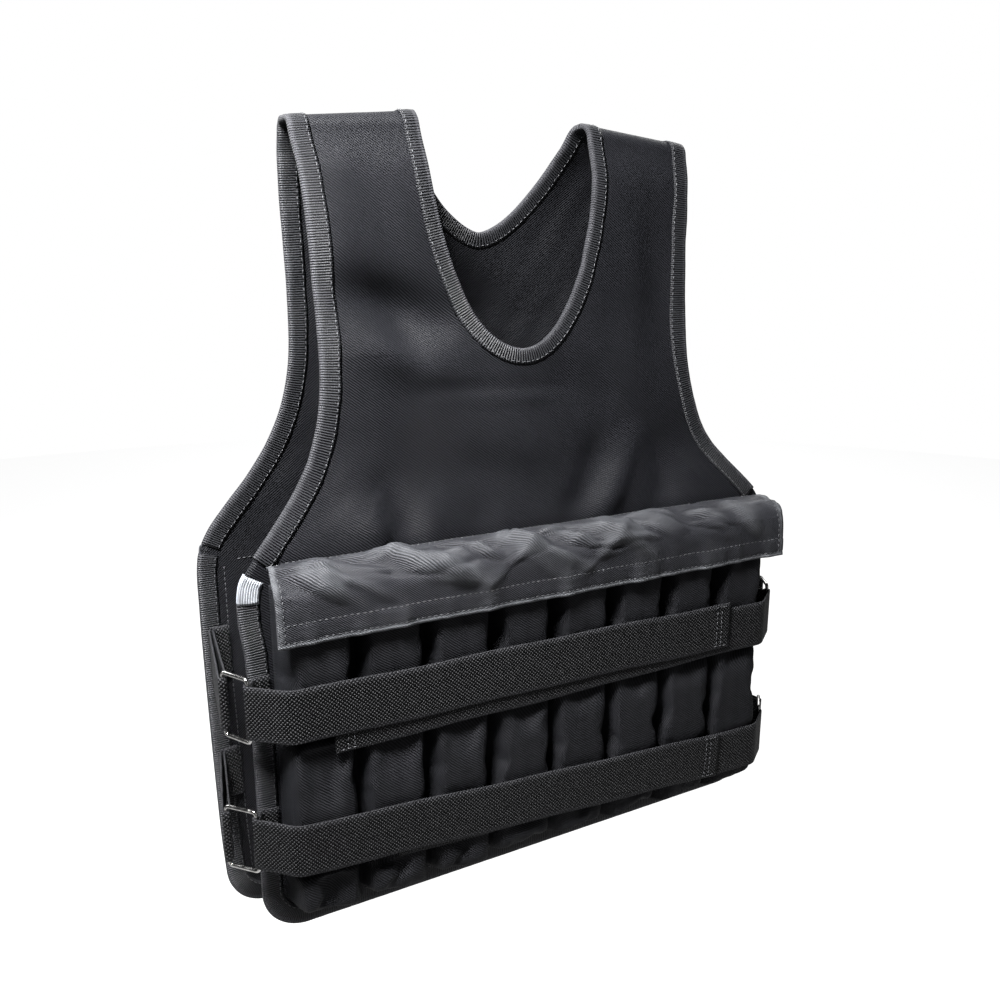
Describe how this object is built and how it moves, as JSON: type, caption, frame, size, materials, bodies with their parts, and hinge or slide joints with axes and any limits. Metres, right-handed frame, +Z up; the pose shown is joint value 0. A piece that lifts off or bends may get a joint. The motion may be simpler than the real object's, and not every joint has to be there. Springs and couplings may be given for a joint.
{
  "type": "weighted vest",
  "caption": "Pull-over cloth training vest with rows of filled weight pouches under flaps, and side straps threaded through metal rings.",
  "frame": {"origin": "middle of the shoulder fold, on the seam between the front and the back panel", "axes": "+Z up, -Y out of the front, +X to the right of a viewer who faces the front"},
  "size_m": [0.4792, 0.1972, 0.59],
  "materials": {
    "panel_cloth": "black twill with a faint blue-grey sheen",
    "flap_cloth": "black twill, gathered and hemmed",
    "pouch_cloth": "black twill, stretched over weights",
    "binding_tape": "black ribbed tape folded over the cloth edges",
    "corner_tape": "dark grey folded tape end",
    "webbing": "black coarse-woven webbing",
    "ring_wire": "polished plated wire"
  },
  "bodies": {
    "root": {"front_panel": "panel_cloth", "back_panel": "panel_cloth", "front_flap": "flap_cloth", "back_flap": "flap_cloth", "neck_binding": "binding_tape", "armhole_binding_left": "binding_tape", "armhole_binding_right": "binding_tape", "front_hem_binding": "binding_tape", "back_hem_binding": "binding_tape", "corner_fold_left": "corner_tape", "corner_fold_right": "corner_tape", "front_pouches_top": "pouch_cloth", "front_pouches_middle": "pouch_cloth", "front_pouches_bottom": "pouch_cloth", "back_pouches_top": "pouch_cloth", "back_pouches_middle": "pouch_cloth", "back_pouches_bottom": "pouch_cloth", "upper_strap_over": "webbing", "upper_strap_under": "webbing", "upper_ring_left": "ring_wire", "upper_ring_loop_left": "webbing", "upper_ring_right": "ring_wire", "upper_ring_loop_right": "webbing", "lower_strap_over": "webbing", "lower_strap_under": "webbing", "lower_ring_left": "ring_wire", "lower_ring_loop_left": "webbing", "lower_ring_right": "ring_wire", "lower_ring_loop_right": "webbing"}
  },
  "joints": []
}
